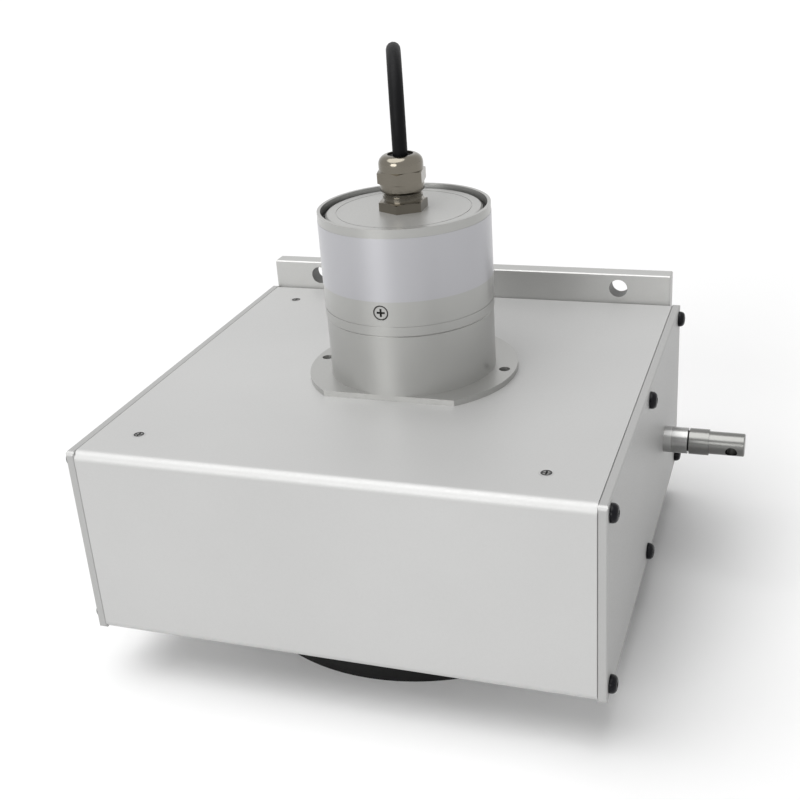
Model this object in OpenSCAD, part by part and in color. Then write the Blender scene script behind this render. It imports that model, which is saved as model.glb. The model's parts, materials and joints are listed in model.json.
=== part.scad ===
// Draw wire encoder: a spring-loaded wire drum in an aluminium housing turns a
// sensor head on top. Millimetres. Z is the drum's axis, the wire leaves along +X,
// the mounting plate is at +Y, and Z = 0 is the underside of the spring cup.

/* [Housing] */
// Outside width of the housing with both end plates
housing_w = 172; // [166:1:184]
// Depth of the housing profile from front face to mounting plate
housing_d = 162.5; // [156:0.5:172]
// Height of the housing profile
housing_h = 66.5; // [65:0.5:74]
// Wall of the extruded housing profile
housing_wall = 4; // [3:0.5:4.5]
// Outside edge radius of the housing profile
housing_edge_r = 3; // [1.5:0.5:4]
// Thickness of each end plate
end_plate_t = 3; // [2:0.5:5]
// Distance of the drum axis to the right of the housing's middle
axis_shift = 3.2; // [0:0.2:5]
// Distance of the drum axis behind the front face
axis_from_front = 84.3; // [80:0.1:88]

/* [Mounting plate] */
// Thickness of the mounting plate
base_plate_t = 7; // [5:0.5:10]
// Distance of the mounting plate's middle to the left of the housing's middle
base_plate_shift = 1; // [0:0.5:3]
// Height of the plate's ears above and below the housing
ear_h = 11; // [9.5:0.5:16]
// Diameter of the mounting holes
ear_hole_d = 7; // [5:0.5:8]
// Distance between mounting holes along the ear
ear_hole_span = 126; // [110:1:136]
// Height of the mounting holes over the housing's top face
ear_hole_rise = 5.3; // [4.8:0.1:6]

/* [Fasteners] */
// Thread diameter of the end plate screws
end_screw_d = 3; // [2.5:0.5:4]
// Distance of the end plate screws from the housing's top and bottom
end_screw_inset = 4.3; // [3.8:0.1:5.5]
// Distance of the outer end plate screws from the front and the back
end_screw_edge = 4.8; // [4:0.1:8]
// Thread diameter of the column screws
column_screw_d = 2.5; // [2:0.5:3]
// Diameter of the spacer columns
column_d = 9; // [7:0.5:12]
// Distance of the left columns from the left end of the housing
column_inset_left = 17.4; // [14:0.2:22]
// Distance of the right column from the right end of the housing
column_inset_right = 20.6; // [16:0.2:24]
// Distance of the columns from the front and the back
column_inset_y = 16.5; // [13:0.5:20]

/* [Wire and drum] */
// Diameter of the measuring wire
wire_d = 0.5; // [0.4:0.05:0.55]
// Measuring range of the wire
wire_range = 9000; // [6000:500:9000]
// Diameter of the circle on which the wire's centre lies on the drum
wire_circle_d = 76.4; // [70:0.2:80]
// Distance between neighbouring turns on the drum
groove_pitch = 0.55; // [0.55:0.01:0.58]
// Height of the wire outlet above the housing's underside
outlet_h = 28; // [27.5:0.1:29]
// Thickness of the drum's web
drum_web_t = 4; // [3:0.5:5]
// Wall of the drum's rim
drum_rim_t = 3; // [2:0.5:5]
// Thickness of the drum's flanges
drum_flange_t = 1.2; // [0.8:0.1:1.5]
// Diameter of the drive shaft
shaft_d = 10; // [8:0.5:10]
// Outside diameter of the lead tube that moves the drum along the shaft
lead_tube_d = 18; // [16:0.5:19]

/* [Wire outlet] */
// Outside diameter of the outlet nozzle
nozzle_d = 9.6; // [8.5:0.1:12]
// Length of the outlet nozzle beyond the end plate
nozzle_l = 8.6; // [7:0.1:12]
// Thickness of the nozzle's lock ring
lock_ring_t = 2.8; // [2:0.1:4]
// Diameter of the wire clamp
clamp_d = 9.6; // [8.5:0.1:12]
// Length of the wire clamp
clamp_l = 7; // [6.5:0.1:10]
// Diameter of the wire end piece
end_piece_d = 8.4; // [7.5:0.1:9.4]
// Length of the wire end piece
end_piece_l = 12.6; // [11:0.1:18]
// Diameter of the cross hole in the wire end piece
end_hole_d = 4.3; // [3:0.1:4.8]
// Distance of the cross hole from the tip
end_hole_inset = 4.5; // [3.6:0.1:5.5]
// Turn of the cross hole's front mouth below the level
end_hole_turn = 23; // [0:1:45]

/* [Sensor head] */
// Outside diameter of the sensor head
head_d = 58; // [57.5:0.5:62]
// Height of the sensor head above the housing
head_h = 59; // [58:0.5:66]
// Height of the lower body of the sensor head
head_base_h = 23; // [22:0.1:24]
// Diameter of the sensor head's flange
flange_d = 73; // [70:0.5:80]
// Thickness of the sensor head's flange
flange_t = 2; // [1.5:0.1:3]
// Diameter of the circle of the two flange holes
flange_hole_circle_d = 65.5; // [64:0.1:67]
// Wall of the sensor head's tube at its rim
tube_wall = 1.1; // [0.9:0.1:1.3]
// Depth of the end cap below the tube's rim
cap_recess = 1.2; // [0.5:0.1:2]

/* [Gear train] */
// Module of the gears
gear_module = 0.35; // [0.33:0.01:0.36]
// Teeth of the shaft's pinion
shaft_pinion_teeth = 12; // [12]
// Teeth of the idler's wheel
idler_wheel_teeth = 60; // [60]
// Teeth of the idler's pinion
idler_pinion_teeth = 8; // [8]
// Teeth of the sensor wheel
sensor_wheel_teeth = 64; // [64]

/* [Spring cup] */
// Outside diameter of the spring cup
spring_cup_d = 131; // [124:1:140]
// Height of the spring cup
spring_cup_h = 19; // [18.5:0.5:26]
// Wall of the spring cup
spring_cup_wall = 2.5; // [2:0.5:3]
// Thickness of the spring strip
spring_strip_t = 0.5; // [0.3:0.1:0.8]
// Turns of the spring strip
spring_turns = 10; // [7:1:12]

/* [Cable] */
// Diameter of the cable
cable_d = 5; // [4:0.5:5]
// Width across flats of the gland's hexagons
gland_af = 14.5; // [14:0.1:15.5]

/* [Hidden] */
$fn = 72;

// Clearances
running_gap = 0.05;
seat_gap = 0.1;
rest_gap = 0.3;

// Housing faces and middles
right_x = housing_w / 2 - axis_shift;
left_x = right_x - housing_w;
front_y = -axis_from_front;
rear_y = front_y + housing_d;
bottom_z = spring_cup_h;
top_z = bottom_z + housing_h;
mid_x = (left_x + right_x) / 2;
mid_y = (front_y + rear_y) / 2;
mid_z = (bottom_z + top_z) / 2;
floor_z = bottom_z + housing_wall;
ceiling_z = top_z - housing_wall;
plate_r = 1.5;
plate_chamfer = 0.4;

// Screws
thread_gap = 0.05;
port_wall = 2;
port_depth = 6;
end_screw_l = 12;
end_head_h = 2.3;
column_screw_l = 10;
base_screw_d = 4;
base_screw_l = 10;
base_screw_x = 52;
base_screw_z = 19;
end_screw_y = [front_y + end_screw_edge, mid_y, rear_y - end_screw_edge];
end_screw_z = [bottom_z + end_screw_inset, top_z - end_screw_inset];
column_places = [
    [left_x + column_inset_left, front_y + column_inset_y],
    [right_x - column_inset_right, front_y + column_inset_y],
    [left_x + column_inset_left, rear_y - column_inset_y]
];

// Mounting plate
plate_mid_x = mid_x - base_plate_shift;
base_plate_w = housing_w - 2 * end_plate_t;
base_plate_h = housing_h + 2 * ear_h;
base_chamfer = 0.4;
ear_holes = [for (sx = [-1, 1], sz = [-1, 1])
    [plate_mid_x + sx * ear_hole_span / 2, mid_z + sz * (housing_h / 2 + ear_hole_rise)]];

// Wire outlet
nozzle_spigot_d = 8;
nozzle_bore_d = 3.2;
nozzle_inner_l = 8;
outlet_nut_af = 13;
outlet_nut_t = 5;
nozzle_x = right_x + nozzle_l;
bumper_t = 0.55;
clamp_x = nozzle_x + 0.6;
end_piece_x = clamp_x + clamp_l;
tip_x = end_piece_x + end_piece_l;
end_hole_x = tip_x - end_hole_inset;
ferrule_l = 4.4;
wire_start_x = 8;

// Wire and drum
wire_y = wire_circle_d / 2;
wire_z = bottom_z + outlet_h;
drum_r = wire_y - wire_d / 2 - running_gap;
turns = wire_range / (PI * wire_circle_d);
drum_travel = turns * groove_pitch;
winding_turns = ceil(turns) + 2;
winding_z = wire_z - 1.5 * groove_pitch;
winding_l = winding_turns * groove_pitch;
drum_z = winding_z - drum_flange_t;
drum_top_z = winding_z + winding_l + drum_flange_t;
drum_flange_rise = 2.2;
drum_flange_r = drum_r + drum_flange_rise;
drum_hole_d = 14;
drum_hole_angles = [30 : 60 : 330];
drum_room = 1.5;
web_top_z = drum_z + drum_web_t;
lead_bottom_z = web_top_z + rest_gap;
lead_engagement = 3.5;
nut_top_z = lead_bottom_z + drum_travel + lead_engagement;
nut_wall = 4;
key_w = 3;
key_h = 1.2;

// Bearings
bearing_d = 26;
bearing_w = 8;
bearing_race = 2.6;
ball_d = 4.8;
ball_count = 8;
ball_gap = 0.05;
head_bearing_d = 16;
head_bearing_w = 5;
head_bearing_race = 1.3;
head_ball_d = 2.2;
encoder_shaft_d = 8;

// Upper bearing seat, below and inside the sensor head's base, just over the
// nut's highest place
spigot_d = 40;
nut_room = 2.1;
spigot_z = nut_top_z + nut_room;
spigot_lip = 2;
head_screw_d = 3;
head_screw_head_d = 5.5;
head_screw_head_h = 2;
head_screw_grip = 6;
head_screw_r = 24;
head_screw_angles = [45, 135, 225, 315];
lead_collar_t = 2.5;
upper_bearing_z = spigot_z + spigot_lip + lead_collar_t;

// Lower bearing seat, hung from the housing's floor into the spring cup
carrier_d = 48;
carrier_spigot_d = 34;
carrier_t = 4;
carrier_lip = 1;
lower_bearing_z = floor_z - bearing_w;
carrier_z = lower_bearing_z - carrier_lip;
carrier_screw_d = 3;
carrier_screw_head_d = 5.4;
carrier_screw_r = 20.5;
carrier_screw_angles = [90, 210, 330];

// Spring cup
cup_floor_t = spring_cup_wall;
cup_inner_r = spring_cup_d / 2 - spring_cup_wall;
cup_boss_r = 4;
cup_boss_circle_r = cup_inner_r - cup_boss_r + 1;
spring_z = cup_floor_t + rest_gap;
spring_h = carrier_z - spring_z - 1;
spring_outer_r = cup_boss_circle_r - cup_boss_r - 1;
arbor_d = 18;
cup_screw_d = 3;
cup_screw_angles = [45, 135, 225, 315];
cup_head_depth = 3;
shaft_bottom_z = cup_floor_t + 0.5;

// Sensor head
seam_z = top_z + head_base_h;
rim_z = top_z + head_h;
base_body_d = head_d - 0.5;
tube_inner_d = head_d - 2 * tube_wall;
register_d = tube_inner_d - 2 * seat_gap;
register_z = seam_z + 12.5;
line_z = seam_z + 3.4;
seam_chamfer = 0.35;
tube_screw_z = seam_z + 8.3;
tube_screw_d = 3;
tube_screw_head_d = 5;
tube_screw_l = 3.8;
tube_screw_angles = [30, 150, 270];
tube_screw_top = sqrt(pow(head_d / 2, 2) - pow(tube_screw_head_d / 2, 2)) - 0.05;
flange_hole_d = 3.8;
flange_tap_d = 3;
flange_flat_y = -28.4;
chamber_d = 32;
chamber_z = upper_bearing_z + bearing_w + 2;
deck_d = 50;
deck_t = 6;
deck_z = seam_z;
deck_top_z = deck_z + deck_t;
cap_top_z = rim_z - cap_recess;
cap_t = 5;
cap_z = cap_top_z - cap_t;
cap_bevel = 1.3;
cap_line_d = 45;

// Gear train, from the deck's top face upwards
centre_distance = gear_module * (shaft_pinion_teeth + idler_wheel_teeth) / 2;
pinion_z = deck_top_z + 1;
pinion_h = 3.5;
idler_z = deck_top_z + 1.5;
idler_wheel_h = 2.5;
idler_pinion_h = 4.5;
sensor_z = deck_top_z + 5.8;
sensor_wheel_h = 2.4;
gear_plate_z = deck_top_z + 10;
gear_plate_t = 2;
magnet_z = gear_plate_z + gear_plate_t + 0.6;
magnet_h = 2;
board_z = magnet_z + magnet_h + 2;
board_t = 1.6;
post_r = 21.5;
pivot_d = 1;
pivot_hole_depth = 2;
arbor_pin_d = 1.8;
sensor_arbor_d = 3;
backlash = 0.06;
post_d = 4;
post_screw_d = 2;
post_thread_l = 3.5;
post_nut_h = 1.2;
post_angles = [0, 110, 250];
end_float = 0.2;
idler_step_d = 2.4;
idler_neck_d = 1.6;
sensor_hub_d = 6;
magnet_d = 6;
terminal_l = 14;
terminal_w = 7;
terminal_h = 4.6;
terminal_pitch = 3.4;

// Cable gland, from the end cap upwards
gland_thread_d = 12;
gland_base_h = 3.3;
gland_neck_h = 2.7;
gland_neck_d = 12.5;
gland_collar_h = 3.1;
gland_collar_d = 14.8;
gland_taper = 0.8;
gland_hex_h = 4.3;
gland_hex_edge = 0.5;
gland_dome_h = 5;
gland_dome_r = 3;
gland_ring_h = 0.7;
gland_ring_d = 13.4;
gland_base_turn = 32;
gland_nut_turn = 38;
gland_mouth_d = 8.6;
gland_nut_z = cap_top_z + gland_base_h + gland_neck_h;
gland_hex_z = gland_nut_z + gland_collar_h;
gland_dome_z = gland_hex_z + gland_hex_h;
gland_top_z = gland_dome_z + gland_dome_h;
seal_d = 9.4;
cable_exit_z = gland_top_z - 0.7;

// Cable route: each point is [distance behind the drum axis along the cable's
// heading, height]. The heading is the turn from +Y towards -X, in degrees.
cable_heading = 19.5;
cable_route = [
    [0, 161.2], [0, 165], [0, 168.8], [1.7, 177.4], [6.6, 184.8], [14, 189.7], [22.6, 191.4],
    [31.2, 189.7], [38.6, 184.8], [43.5, 177.4], [48.6, 165], [54.7, 151.6], [61, 138.4],
    [68.2, 125.8], [76.4, 115.4], [85.2, 108], [94, 102], [101.4, 93.8], [106.6, 83],
    [109.8, 70.4], [111.2, 56.4], [112, 42.6], [114.6, 29.8], [120.4, 18.8], [129, 10.3],
    [139, 4.9], [149, 2.6], [158, 2.5]
];
cable_sides = 8;
coil_turn_r = 27.5;
coil_rows = 3;
coil_reach = 1.5;
coil_entry_r = coil_turn_r + coil_reach * cable_d;

function along(route, heading) =
    [for (p = route) [-sin(heading) * p[0], cos(heading) * p[0], p[1]]];

cable_path = along(cable_route, cable_heading);
cable_end = cable_path[len(cable_path) - 1];
coil_centre = [
    cable_end[0] + coil_entry_r * cos(cable_heading),
    cable_end[1] + coil_entry_r * sin(cable_heading)
];

// ---------------------------------------------------------------- shared forms

// Hexagon bar with its corners turned off to the width across flats at the chosen ends
module turned_hex(z0, z1, af, edge, below) {
    corner_d = af / cos(30);
    intersection() {
        hex_bar(z0, z1, af);
        union() {
            rod(z0 + (below ? edge : 0), z1 - edge, corner_d + 0.2);
            translate([0, 0, z1 - edge]) cylinder(h = edge, d1 = corner_d + 0.1, d2 = af - 0.2);
            if (below)
                translate([0, 0, z0]) cylinder(h = edge, d1 = af - 0.2, d2 = corner_d + 0.1);
        }
    }
}

// Upright cylinder between two heights
module rod(z0, z1, d) {
    translate([0, 0, z0]) cylinder(h = z1 - z0, d = d);
}

// Cylinder along X at the wire's height and side, between two places on X
module wire_rod(x0, x1, d) {
    translate([x0, wire_y, wire_z]) rotate([0, 90, 0]) cylinder(h = x1 - x0, d = d);
}

// Hexagonal bar along Z by width across flats
module hex_bar(z0, z1, af) {
    translate([0, 0, z0]) cylinder(h = z1 - z0, d = af / cos(30), $fn = 6);
}

// Rectangle with round corners, from its lower left corner
module rounded_rect(w, h, r) {
    translate([r, 0]) square([w - 2 * r, h]);
    translate([0, r]) square([w, h - 2 * r]);
    for (x = [r, w - r], y = [r, h - r])
        translate([x, y]) circle(r);
}

// Rectangle with cut corners, from its lower left corner
module cut_rect(w, h, c) {
    polygon([[c, 0], [w - c, 0], [w, c], [w, h - c], [w - c, h], [c, h], [0, h - c], [0, c]]);
}

// Box with all edges chamfered, from its lowest corner
module chamfered_box(size, c) {
    intersection() {
        linear_extrude(size[2]) cut_rect(size[0], size[1], c);
        rotate([90, 0, 0]) translate([0, 0, -size[1]]) linear_extrude(size[1])
            cut_rect(size[0], size[2], c);
        rotate([90, 0, 90]) linear_extrude(size[0]) cut_rect(size[1], size[2], c);
    }
}

// Button head screw with a hexagon socket: head above Z = 0, shank below
module button_screw(d, l, head_d, head_h) {
    dome_r = head_h * 0.7;
    difference() {
        union() {
            rotate_extrude() {
                square([head_d / 2, head_h - dome_r]);
                square([head_d / 2 - dome_r, head_h]);
                intersection() {
                    translate([head_d / 2 - dome_r, head_h - dome_r]) circle(dome_r);
                    square([head_d / 2, head_h]);
                }
            }
            rod(-l, 0.01, d);
        }
        translate([0, 0, head_h - 1.3]) cylinder(h = 2, d = d * 0.75, $fn = 6);
    }
}

// Countersunk screw with a cross recess: its flat top is at Z = 0
module countersunk_screw(d, l, head_d) {
    difference() {
        union() {
            translate([0, 0, -(head_d - d) / 2]) cylinder(h = (head_d - d) / 2, d1 = d, d2 = head_d);
            rod(-l, -(head_d - d) / 2 + 0.01, d);
        }
        for (a = [0, 90])
            rotate([0, 0, a]) translate([-head_d * 0.28, -head_d * 0.07, -0.9])
                cube([head_d * 0.56, head_d * 0.14, 1]);
    }
}

// Cutter for a countersunk screw whose flat top is at Z = 0
module countersunk_hole(d, l, head_d) {
    translate([0, 0, -(head_d - d) / 2]) cylinder(h = (head_d - d) / 2 + 0.01, d1 = d, d2 = head_d);
    rod(-l, 0.01, d);
}

// Puts a child drawn with its outside at Z = 0 on the outside of an end plate
module at_end_screws(side) {
    for (y = end_screw_y, z = end_screw_z)
        translate([side > 0 ? right_x : left_x, y, z]) rotate([0, side * 90, 0]) children();
}

// Ring of a ball bearing: an outer or an inner one
module bearing_ring(z0, w, d_outer, d_inner, groove_d, groove_r) {
    rotate_extrude() difference() {
        translate([d_inner / 2, z0]) square([(d_outer - d_inner) / 2, w]);
        translate([groove_d / 2, z0 + w / 2]) circle(groove_r);
    }
}

// Ring of separate balls
module bearing_balls(z0, w, pitch_d, ball_d, count) {
    for (i = [0 : count - 1])
        rotate([0, 0, 360 / count * i]) translate([pitch_d / 2, 0, z0 + w / 2])
            sphere(d = ball_d, $fn = 32);
}

// ---------------------------------------------------------------- gears

function involute(a) = tan(a) * 180 / PI - a;

// Half of a tooth's angle at radius r, for pitch radius rp
function tooth_half(r, rp, teeth) =
    let (rb = rp * cos(20), a = r > rb ? acos(rb / r) : 0)
    90 / teeth - backlash * 90 / (PI * rp) + involute(20) - involute(a);

function gear_outline(teeth, m, addendum) =
    let (
        rp = teeth * m / 2,
        ra = rp + addendum * m,
        rf = rp - 1.2 * m,
        rb = max(rp * cos(20), rf),
        flank = [rb, (rb + rp) / 2, rp, (rp + ra) / 2, ra],
        root_half = tooth_half(rb, rp, teeth) * (rb > rf ? 0.8 : 1.1)
    )
    [for (i = [0 : teeth - 1])
        let (c = 360 * i / teeth)
        each concat(
            [[rf, c - root_half]],
            [for (r = flank) [r, c - tooth_half(r, rp, teeth)]],
            [for (k = [4 : -1 : 0]) [flank[k], c + tooth_half(flank[k], rp, teeth)]],
            [[rf, c + root_half]]
        )];

module gear_wheel(teeth, h, addendum) {
    outline = gear_outline(teeth, gear_module, addendum);
    linear_extrude(h) polygon([for (p = outline) [p[0] * cos(p[1]), p[0] * sin(p[1])]]);
}

// ---------------------------------------------------------------- swept cable

function unit(v) = v / norm(v);

function tangent(path, i) =
    unit(path[min(i + 1, len(path) - 1)] - path[max(i - 1, 0)]);

// All rings share one side direction, square to the plane that the route lies in
module swept_tube(path, d, sides, side_dir) {
    n = len(path);
    rings = [for (i = [0 : n - 1])
        let (t = tangent(path, i), up = cross(t, side_dir))
        [for (k = [0 : sides - 1])
            path[i] + d / 2 * (cos(360 * k / sides) * side_dir + sin(360 * k / sides) * up)]];
    points = [for (ring = rings, p = ring) p];
    skin = [for (i = [0 : n - 2], k = [0 : sides - 1])
        let (a = i * sides, b = (i + 1) * sides, next = (k + 1) % sides)
        [a + k, a + next, b + next, b + k]];
    first = [for (k = [0 : sides - 1]) sides - 1 - k];
    last = [for (k = [0 : sides - 1]) (n - 1) * sides + k];
    polyhedron(points, concat([first], skin, [last]), convexity = 6);
}

// ---------------------------------------------------------------- housing

module port_circles(r) {
    for (y = end_screw_y, z = end_screw_z)
        translate([y, z]) circle(r);
}

module housing_profile() {
    difference() {
        union() {
            difference() {
                translate([front_y, bottom_z]) rounded_rect(housing_d, housing_h, housing_edge_r);
                translate([front_y + housing_wall, floor_z])
                    square([housing_d - 2 * housing_wall, housing_h - 2 * housing_wall]);
            }
            intersection() {
                port_circles(end_screw_d / 2 + port_wall);
                translate([front_y, bottom_z]) rounded_rect(housing_d, housing_h, housing_edge_r);
            }
        }
        port_circles(end_screw_d / 2 + thread_gap);
    }
}

module main_housing() {
    color("silver") difference() {
        translate([left_x + end_plate_t, 0, 0]) rotate([90, 0, 90])
            linear_extrude(housing_w - 2 * end_plate_t) housing_profile();
        rod(ceiling_z - port_depth, ceiling_z, 2 * (drum_flange_r + drum_room));
        rod(floor_z, floor_z + port_depth, 2 * (drum_flange_r + drum_room));
        rod(ceiling_z - 1, top_z + 1, spigot_d + 2 * seat_gap);
        rod(bottom_z - 1, floor_z + 1, carrier_spigot_d + 2 * seat_gap);
        for (p = column_places) {
            translate([p[0], p[1], top_z])
                countersunk_hole(column_screw_d + 2 * thread_gap, housing_wall + 1, column_screw_d * 1.8);
            translate([p[0], p[1], bottom_z]) mirror([0, 0, 1])
                countersunk_hole(column_screw_d + 2 * thread_gap, housing_wall + 1, column_screw_d * 1.8);
        }
        for (a = [0, 180])
            rotate([0, 0, a]) translate([flange_hole_circle_d / 2, 0, 0])
                rod(ceiling_z + 1, top_z + 1, flange_tap_d);
        for (a = head_screw_angles)
            rotate([0, 0, a]) translate([head_screw_r, 0, 0])
                rod(ceiling_z - 1, top_z + 1, head_screw_d + 2 * seat_gap);
        for (a = carrier_screw_angles)
            rotate([0, 0, a]) translate([carrier_screw_r, 0, 0])
                rod(bottom_z - 1, floor_z + 1, carrier_screw_d + 2 * thread_gap);
        for (a = cup_screw_angles)
            rotate([0, 0, a]) translate([cup_boss_circle_r, 0, 0])
                rod(bottom_z - 1, floor_z + 1, cup_screw_d + 2 * thread_gap);
        for (sx = [-1, 1], sz = [-1, 1])
            translate([plate_mid_x + sx * base_screw_x, rear_y + 1, mid_z + sz * base_screw_z])
                rotate([90, 0, 0]) cylinder(h = housing_wall + 2, d = base_screw_d + 2 * thread_gap);
    }
}

module end_plate(x0) {
    translate([x0, front_y, bottom_z]) intersection() {
        chamfered_box([end_plate_t, housing_d, housing_h], plate_chamfer);
        rotate([90, 0, 90]) linear_extrude(end_plate_t) rounded_rect(housing_d, housing_h, plate_r);
    }
}

module left_end_plate() {
    color("silver") difference() {
        end_plate(left_x);
        at_end_screws(-1) translate([0, 0, -end_plate_t - 1])
            cylinder(h = end_plate_t + 2, d = end_screw_d + 0.4);
    }
}

module right_end_plate() {
    color("silver") difference() {
        end_plate(right_x - end_plate_t);
        at_end_screws(1) translate([0, 0, -end_plate_t - 1])
            cylinder(h = end_plate_t + 2, d = end_screw_d + 0.4);
        wire_rod(right_x - end_plate_t - 1, right_x + 1, nozzle_spigot_d + 2 * seat_gap);
    }
}

module end_plate_screws() {
    color("#202224") for (side = [-1, 1])
        at_end_screws(side) button_screw(end_screw_d, end_screw_l, end_screw_d * 1.93, end_head_h);
}

module base_plate() {
    color("silver") difference() {
        translate([plate_mid_x - base_plate_w / 2, rear_y, mid_z - base_plate_h / 2])
            chamfered_box([base_plate_w, base_plate_t, base_plate_h], base_chamfer);
        for (p = ear_holes)
            translate([p[0], rear_y - 1, p[1]]) rotate([-90, 0, 0])
                cylinder(h = base_plate_t + 2, d = ear_hole_d);
        for (sx = [-1, 1], sz = [-1, 1])
            translate([plate_mid_x + sx * base_screw_x, rear_y + base_plate_t, mid_z + sz * base_screw_z])
                rotate([-90, 0, 0])
                    countersunk_hole(base_screw_d + 2 * thread_gap, base_plate_t + 1, base_screw_d * 2);
    }
}

module base_plate_screws() {
    color("#9a9c9e") for (sx = [-1, 1], sz = [-1, 1])
        translate([plate_mid_x + sx * base_screw_x, rear_y + base_plate_t, mid_z + sz * base_screw_z])
            rotate([-90, 0, 0]) countersunk_screw(base_screw_d, base_screw_l, base_screw_d * 2 - 0.2);
}

module spacer_columns() {
    color("#b8babc") for (p = column_places)
        translate([p[0], p[1], 0]) difference() {
            rod(floor_z, ceiling_z, column_d);
            rod(floor_z - 1, floor_z + column_screw_l, column_screw_d + 2 * thread_gap);
            rod(ceiling_z - column_screw_l, ceiling_z + 1, column_screw_d + 2 * thread_gap);
        }
}

module column_screws() {
    color("#77797b") for (p = column_places) {
        translate([p[0], p[1], top_z])
            countersunk_screw(column_screw_d, column_screw_l, column_screw_d * 1.8 - 0.2);
        translate([p[0], p[1], bottom_z]) mirror([0, 0, 1])
            countersunk_screw(column_screw_d, column_screw_l, column_screw_d * 1.8 - 0.2);
    }
}

// ---------------------------------------------------------------- wire outlet

module outlet_nozzle() {
    color("#c4c5c6") difference() {
        union() {
            wire_rod(right_x + lock_ring_t, nozzle_x, nozzle_d);
            wire_rod(right_x - end_plate_t - nozzle_inner_l, right_x + lock_ring_t, nozzle_spigot_d);
        }
        wire_rod(right_x - end_plate_t - nozzle_inner_l - 1, nozzle_x + 1, nozzle_bore_d);
        wire_rod(nozzle_x - 4, nozzle_x + 1, 5.2);
    }
}

module outlet_lock_ring() {
    color("#c4c5c6") difference() {
        wire_rod(right_x, right_x + lock_ring_t, nozzle_d);
        wire_rod(right_x - 1, right_x + lock_ring_t + 1, nozzle_spigot_d + 2 * thread_gap);
    }
}

module outlet_nut() {
    color("#b8babc") difference() {
        translate([right_x - end_plate_t - outlet_nut_t, wire_y, wire_z]) rotate([0, 90, 0])
            hex_bar(0, outlet_nut_t, outlet_nut_af);
        wire_rod(right_x - end_plate_t - outlet_nut_t - 1, right_x, nozzle_spigot_d + 2 * thread_gap);
    }
}

// Hard ring that the wire slides through, with a rounded mouth
module guide_eyelet() {
    color("#e9e6dc") translate([nozzle_x, wire_y, wire_z]) rotate([0, -90, 0]) rotate_extrude()
        difference() {
            square([2.6, 4]);
            square([0.7, 4]);
            translate([0.7, 0]) polygon([[-0.1, -0.1], [0.5, -0.1], [0, 0.5], [-0.1, 0.5]]);
        }
}

// ---------------------------------------------------------------- wire end

module bumper_ring() {
    color("#1d1d1e") difference() {
        wire_rod(clamp_x - bumper_t, clamp_x, nozzle_d - 2);
        wire_rod(clamp_x - bumper_t - 1, clamp_x + 1, wire_d + 0.3);
    }
}

module wire_clamp() {
    color("#c4c5c6") difference() {
        wire_rod(clamp_x, end_piece_x, clamp_d);
        wire_rod(clamp_x - 1, end_piece_x + 1, wire_d + 0.3);
    }
}

module wire_end_piece() {
    color("#c4c5c6") difference() {
        translate([end_piece_x, wire_y, wire_z]) rotate([0, 90, 0]) union() {
            cylinder(h = end_piece_l - 0.3, d = end_piece_d);
            translate([0, 0, end_piece_l - 0.3]) cylinder(h = 0.3, d1 = end_piece_d, d2 = end_piece_d - 0.6);
        }
        wire_rod(end_piece_x - 1, end_piece_x + ferrule_l + 0.6, 2.6);
        translate([end_hole_x, wire_y, wire_z]) rotate([end_hole_turn - 90, 0, 0])
            cylinder(h = 2 * end_piece_d, d = end_hole_d, center = true);
    }
}

module wire_ferrule() {
    color("#b8863c") difference() {
        wire_rod(end_piece_x + 0.3, end_piece_x + 0.3 + ferrule_l, 2.4);
        wire_rod(end_piece_x - 1, end_piece_x + ferrule_l - 0.7, wire_d + 0.1);
    }
}

module measuring_wire() {
    color("#8d8f92") wire_rod(wire_start_x, end_piece_x + ferrule_l - 0.9, wire_d);
}

// ---------------------------------------------------------------- shaft and drum

key_z = floor_z + 1;
key_top_z = web_top_z + 0.5;
shaft_gap = 1.5;
coupling_room_below = 2;
coupling_room_above = 2.5;
coupling_z = chamber_z + coupling_room_below;
coupling_l = seam_z - coupling_room_above - coupling_z;
coupling_d = 19;
slot_pitch = 1.5;
slot_w = 0.4;
encoder_shaft_z = coupling_z + coupling_l / 2;
shaft_top_z = encoder_shaft_z - shaft_gap;

module drive_shaft() {
    color("#c9cacc") difference() {
        union() {
            rod(shaft_bottom_z, shaft_top_z, shaft_d);
            rod(lower_bearing_z + bearing_w, lower_bearing_z + bearing_w + 0.8, shaft_d + 2.4);
        }
        translate([shaft_d / 2 - 1.3, -key_w / 2, key_z]) cube([3, key_w, key_top_z - key_z]);
    }
}

module shaft_key() {
    color("#8e9093") translate([shaft_d / 2 - 1.3, -key_w / 2 + 0.02, key_z])
        cube([1.3 + key_h, key_w - 0.04, key_top_z - key_z]);
}

module cable_drum() {
    color("#c2c4c6") difference() {
        union() {
            rod(drum_z, drum_top_z, 2 * drum_r);
            rod(drum_z, drum_z + drum_flange_t, 2 * drum_flange_r);
            rod(drum_top_z - drum_flange_t, drum_top_z, 2 * drum_flange_r);
        }
        difference() {
            rod(web_top_z, drum_top_z + 1, 2 * (drum_r - drum_rim_t));
            rod(drum_z, nut_top_z, lead_tube_d + 2 * nut_wall);
        }
        rod(web_top_z, drum_top_z + 1, lead_tube_d + 2 * running_gap);
        rod(drum_z - 1, drum_top_z, shaft_d + 2 * running_gap);
        translate([0, -key_w / 2 - running_gap, drum_z - 1])
            cube([shaft_d / 2 + key_h + 0.1, key_w + 2 * running_gap, drum_web_t + 2]);
        for (a = drum_hole_angles)
            rotate([0, 0, a]) translate([(drum_r + lead_tube_d / 2) / 2, 0, 0])
                rod(drum_z - 1, web_top_z + 1, drum_hole_d);
    }
    color("#c2c4c6") difference() {
        rod(drum_top_z, nut_top_z, lead_tube_d + 2 * nut_wall);
        rod(drum_top_z - 1, nut_top_z + 1, lead_tube_d + 2 * running_gap);
    }
}

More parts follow.
